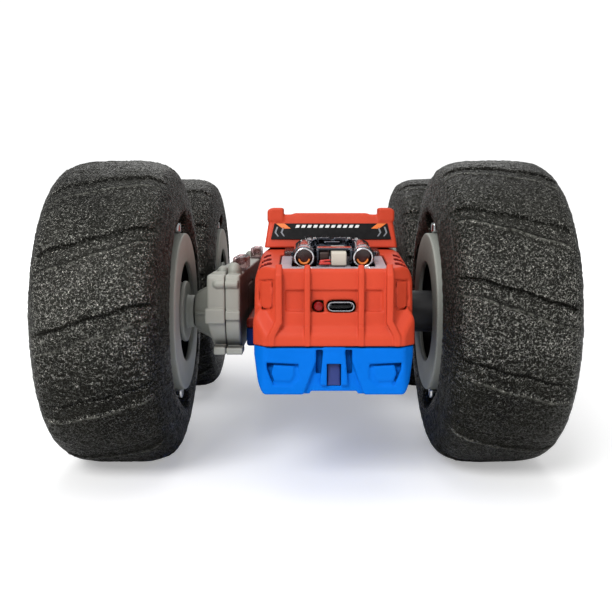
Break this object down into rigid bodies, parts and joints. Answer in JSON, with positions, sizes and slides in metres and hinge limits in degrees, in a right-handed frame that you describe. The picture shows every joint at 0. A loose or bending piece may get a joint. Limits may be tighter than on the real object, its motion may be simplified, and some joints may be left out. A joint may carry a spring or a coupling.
{
  "type": "rc stunt car",
  "caption": "Remote-controlled stunt car with a narrow two-colour truck body between very large soft foam wheels, the right-hand pair carried on a swing arm.",
  "frame": {"origin": "on the ground under the car: y = 0 at the middle of the wheelbase, x = 0 half way between the left and right tyres", "axes": "nose to -Y, up +Z, the driver's left to +X and right to -X"},
  "size_m": [0.1908, 0.264, 0.12],
  "materials": {
    "red_plastic": "satin moulded ABS",
    "blue_plastic": "satin moulded ABS",
    "grey_plastic": "satin moulded plastic",
    "dark_plastic": "satin moulded plastic",
    "foam": "soft foam with a fine pebbled skin",
    "chrome": "vacuum plated plastic",
    "silver": "silver plated plastic",
    "steel": "plain steel",
    "cream": "matte",
    "lilac": "satin label over plastic",
    "decal": "printed label",
    "led": "clear red lens",
    "pcb": "solder mask",
    "battery": "shrink film",
    "nylon": "natural nylon"
  },
  "bodies": {
    "chassis": {"upper_shell": "red_plastic", "lower_shell": "blue_plastic", "cab": "red_plastic", "windscreen_decal": "decal", "hood_insert": "lilac", "engine_block": "chrome", "intake_left": "chrome", "intake_right": "chrome", "air_scoop": "cream", "usb_port_shell": "steel", "usb_port_tongue": "dark_plastic", "status_led": "led", "circuit_board": "pcb", "battery_pack": "battery", "right_drive_motor": "steel", "left_drive_motor": "steel", "swing_motor": "steel", "shell_screw_1": "steel", "shell_screw_2": "steel", "shell_screw_3": "steel", "shell_screw_4": "steel", "arm_pivot_bush": "dark_plastic", "left_front_axle_sleeve": "dark_plastic", "left_rear_axle_sleeve": "dark_plastic"},
    "power_switch": {"power_switch": "dark_plastic"},
    "right_arm": {"right_arm_outer_half": "grey_plastic", "right_arm_inner_half": "grey_plastic", "right_arm_screw_front": "steel", "right_arm_screw_rear": "steel", "right_arm_pivot_tube": "nylon"},
    "swing_pinion": {"swing_pinion": "steel"},
    "right_front_wheel": {"right_front_tyre": "foam", "right_front_rim": "grey_plastic", "right_front_spoke_disc": "silver", "right_front_axle": "steel", "right_front_axle_gear": "nylon"},
    "right_rear_wheel": {"right_rear_tyre": "foam", "right_rear_rim": "grey_plastic", "right_rear_spoke_disc": "silver", "right_rear_axle": "steel", "right_rear_axle_gear": "nylon"},
    "left_front_wheel": {"left_front_tyre": "foam", "left_front_rim": "grey_plastic", "left_front_spoke_disc": "silver", "left_front_axle": "steel", "left_front_axle_gear": "nylon"},
    "left_rear_wheel": {"left_rear_tyre": "foam", "left_rear_rim": "grey_plastic", "left_rear_spoke_disc": "silver", "left_rear_axle": "steel", "left_rear_axle_gear": "nylon"},
    "right_drive": {"right_drive_shaft": "steel", "right_drive_gear": "nylon"},
    "right_idler_1": {"right_idler_gear_1": "nylon"},
    "right_idler_2": {"right_idler_gear_2": "nylon"},
    "right_idler_3": {"right_idler_gear_3": "nylon"},
    "right_idler_4": {"right_idler_gear_4": "nylon"},
    "left_drive": {"left_drive_gear": "nylon"},
    "left_idler_1": {"left_idler_gear_1": "nylon"},
    "left_idler_2": {"left_idler_gear_2": "nylon"}
  },
  "joints": [
    {"name": "arm_swing", "type": "hinge", "parent": "chassis", "child": "right_arm", "pos_m": [-0.0251, 0, 0.06], "axis": [1, 0, 0], "range_deg": [-90, 90]},
    {"name": "swing_pinion_turn", "type": "hinge", "parent": "chassis", "child": "swing_pinion", "pos_m": [-0.01225, 0.018, 0.06], "axis": [1, 0, 0], "range_deg": [-180, 180]},
    {"name": "power_switch_slide", "type": "slide", "parent": "chassis", "child": "power_switch", "axis": [0, 1, 0], "range_m": [0, 0.003]},
    {"name": "right_front_wheel_spin", "type": "hinge", "parent": "right_arm", "child": "right_front_wheel", "pos_m": [-0.0707, -0.072, 0.06], "axis": [1, 0, 0], "continuous": true},
    {"name": "right_rear_wheel_spin", "type": "hinge", "parent": "right_arm", "child": "right_rear_wheel", "pos_m": [-0.0707, 0.072, 0.06], "axis": [1, 0, 0], "continuous": true},
    {"name": "right_drive_turn", "type": "hinge", "parent": "right_arm", "child": "right_drive", "pos_m": [-0.0317, 0, 0.06], "axis": [1, 0, 0], "continuous": true},
    {"name": "right_idler_1_turn", "type": "hinge", "parent": "right_arm", "child": "right_idler_1", "pos_m": [-0.03175, -0.048, 0.06], "axis": [1, 0, 0], "continuous": true},
    {"name": "right_idler_2_turn", "type": "hinge", "parent": "right_arm", "child": "right_idler_2", "pos_m": [-0.03175, -0.024, 0.06], "axis": [1, 0, 0], "continuous": true},
    {"name": "right_idler_3_turn", "type": "hinge", "parent": "right_arm", "child": "right_idler_3", "pos_m": [-0.03175, 0.024, 0.06], "axis": [1, 0, 0], "continuous": true},
    {"name": "right_idler_4_turn", "type": "hinge", "parent": "right_arm", "child": "right_idler_4", "pos_m": [-0.03175, 0.048, 0.06], "axis": [1, 0, 0], "continuous": true},
    {"name": "left_front_wheel_spin", "type": "hinge", "parent": "chassis", "child": "left_front_wheel", "pos_m": [0.0707, -0.072, 0.06], "axis": [1, 0, 0], "continuous": true},
    {"name": "left_rear_wheel_spin", "type": "hinge", "parent": "chassis", "child": "left_rear_wheel", "pos_m": [0.0707, 0.072, 0.06], "axis": [1, 0, 0], "continuous": true},
    {"name": "left_drive_turn", "type": "hinge", "parent": "chassis", "child": "left_drive", "pos_m": [0.02725, 0, 0.06], "axis": [1, 0, 0], "continuous": true},
    {"name": "left_idler_1_turn", "type": "hinge", "parent": "chassis", "child": "left_idler_1", "pos_m": [0.02725, -0.036, 0.06], "axis": [1, 0, 0], "continuous": true},
    {"name": "left_idler_2_turn", "type": "hinge", "parent": "chassis", "child": "left_idler_2", "pos_m": [0.02725, 0.036, 0.06], "axis": [1, 0, 0], "continuous": true}
  ],
  "couplings": [
    {"joint": "swing_pinion_turn", "follows": "arm_swing", "ratio": -2},
    {"joint": "right_idler_1_turn", "follows": "right_front_wheel_spin", "ratio": -1},
    {"joint": "right_idler_2_turn", "follows": "right_front_wheel_spin", "ratio": 1},
    {"joint": "right_drive_turn", "follows": "right_front_wheel_spin", "ratio": -1},
    {"joint": "right_idler_3_turn", "follows": "right_front_wheel_spin", "ratio": 1},
    {"joint": "right_idler_4_turn", "follows": "right_front_wheel_spin", "ratio": -1},
    {"joint": "right_rear_wheel_spin", "follows": "right_front_wheel_spin", "ratio": 1},
    {"joint": "left_idler_1_turn", "follows": "left_front_wheel_spin", "ratio": -1},
    {"joint": "left_drive_turn", "follows": "left_front_wheel_spin", "ratio": 1},
    {"joint": "left_idler_2_turn", "follows": "left_front_wheel_spin", "ratio": -1},
    {"joint": "left_rear_wheel_spin", "follows": "left_front_wheel_spin", "ratio": 1}
  ]
}
